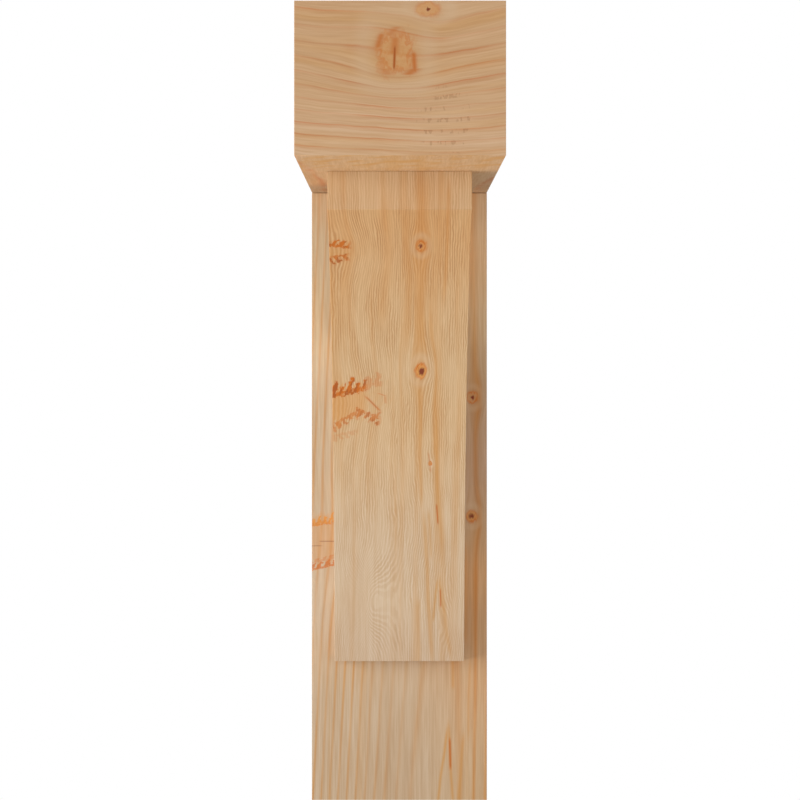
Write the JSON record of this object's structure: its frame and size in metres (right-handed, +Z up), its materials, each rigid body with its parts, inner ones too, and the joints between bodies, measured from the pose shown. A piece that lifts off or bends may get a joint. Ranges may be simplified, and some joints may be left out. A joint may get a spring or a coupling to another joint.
{
  "type": "block bracket",
  "caption": "Timber wall bracket: a post flat against the wall, a beam with a square-cut end lying on it, and a narrower brace with a hollow curved front between them.",
  "frame": {"origin": "middle of the bracket's back, on the wall plane, halfway between its foot and its top", "axes": "+Y into the wall, so the beam reaches out towards -Y; +X along the wall, to the right as seen from the front; +Z up"},
  "size_m": [0.1396, 0.5871, 0.5872],
  "materials": {
    "beam_timber": "sanded smooth, unfinished fir",
    "post_timber": "sanded smooth, unfinished fir",
    "brace_timber": "sanded smooth, unfinished fir"
  },
  "bodies": {
    "root": {"top_beam": "beam_timber", "wall_post": "post_timber", "curved_brace": "brace_timber"}
  },
  "joints": []
}
